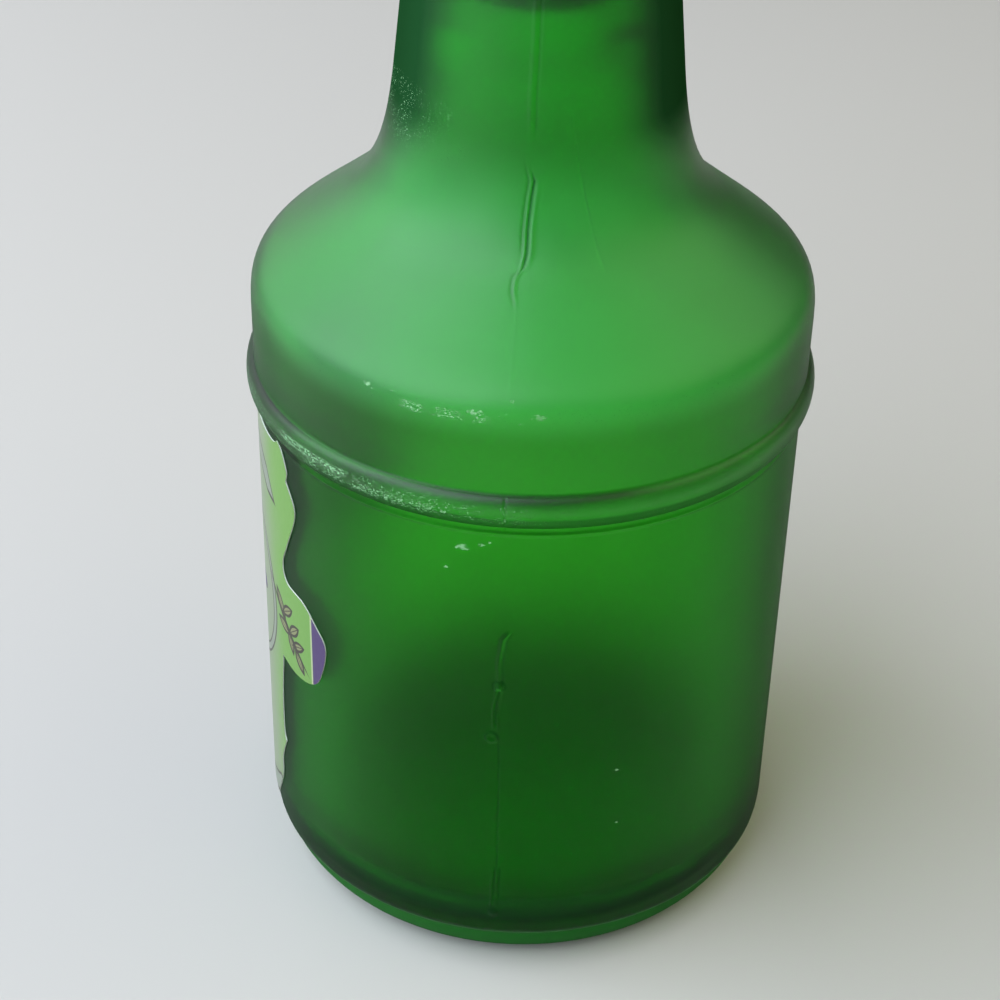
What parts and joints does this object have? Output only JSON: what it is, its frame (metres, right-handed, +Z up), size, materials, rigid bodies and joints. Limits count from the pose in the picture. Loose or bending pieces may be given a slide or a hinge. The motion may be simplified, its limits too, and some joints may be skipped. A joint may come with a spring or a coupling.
{
  "type": "stoppered glass bottle",
  "caption": "Frosted green glass bottle with a bead round the body, a sloping shoulder and leaning neck, a die-cut paper label and a lift-out cork stopper under a turned wooden cap.",
  "frame": {"origin": "centre of the base, on the plane the bottle stands on", "axes": "+Z up along the bottle's axis, -Y towards the front label, +X and -X through the two mould seams"},
  "size_m": [0.0976, 0.0976, 0.2106],
  "materials": {
    "frosted_green_glass": "satin frosted",
    "label_paper": "printed, satin",
    "cork": "natural cork",
    "cap_wood": "dark stained, satin"
  },
  "bodies": {
    "bottle": {"glass_bottle": "frosted_green_glass", "front_label": "label_paper"},
    "stopper": {"stopper_cap": "cap_wood", "cork_shank": "cork"}
  },
  "joints": [
    {"name": "stopper_pull", "type": "slide", "parent": "bottle", "child": "stopper", "axis": [0, 0, 1], "range_m": [0, 0.052]}
  ]
}
